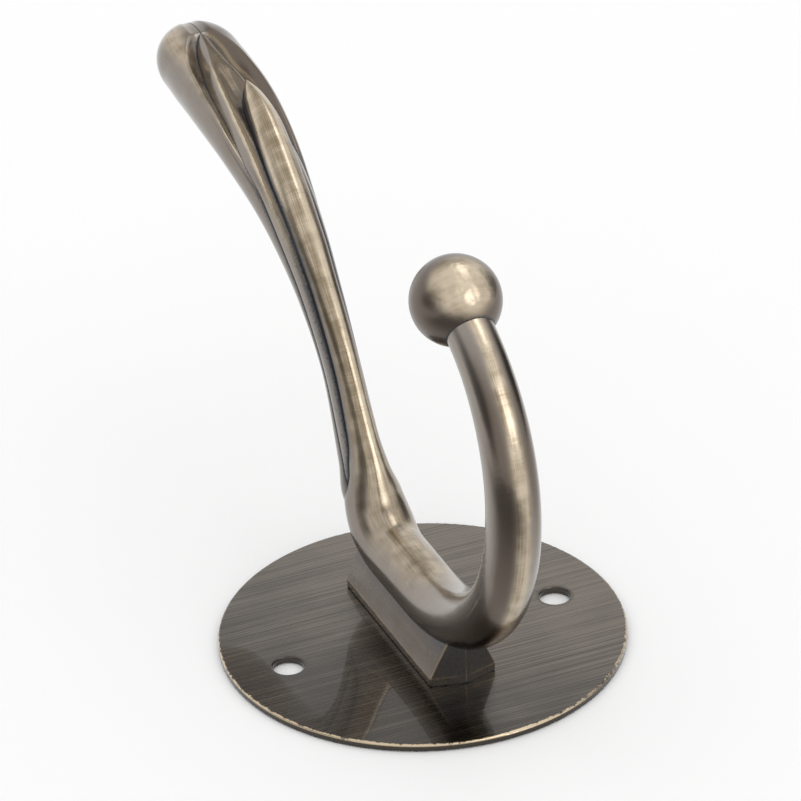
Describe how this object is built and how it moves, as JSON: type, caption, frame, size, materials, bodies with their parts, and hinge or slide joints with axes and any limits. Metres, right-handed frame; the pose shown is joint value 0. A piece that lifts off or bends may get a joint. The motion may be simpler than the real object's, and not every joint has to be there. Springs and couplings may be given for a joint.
{
  "type": "wall coat hook",
  "caption": "Two-pronged cast wall hook with a leaf-shaped long prong and a ball-ended short prong on a round screw-on back plate.",
  "frame": {"origin": "centre of the back plate's back face, which lies on the wall", "axes": "+Z out of the wall, +Y up the wall along the hook, +X along the two screw holes"},
  "size_m": [0.06, 0.1251, 0.0707],
  "materials": {
    "back_plate": "straight-brushed dark antique bronze under gloss lacquer",
    "hook_casting": "polished antique brass with darker patina in the grooves"
  },
  "bodies": {
    "root": {"back_plate": "back_plate", "hook_casting": "hook_casting"}
  },
  "joints": []
}
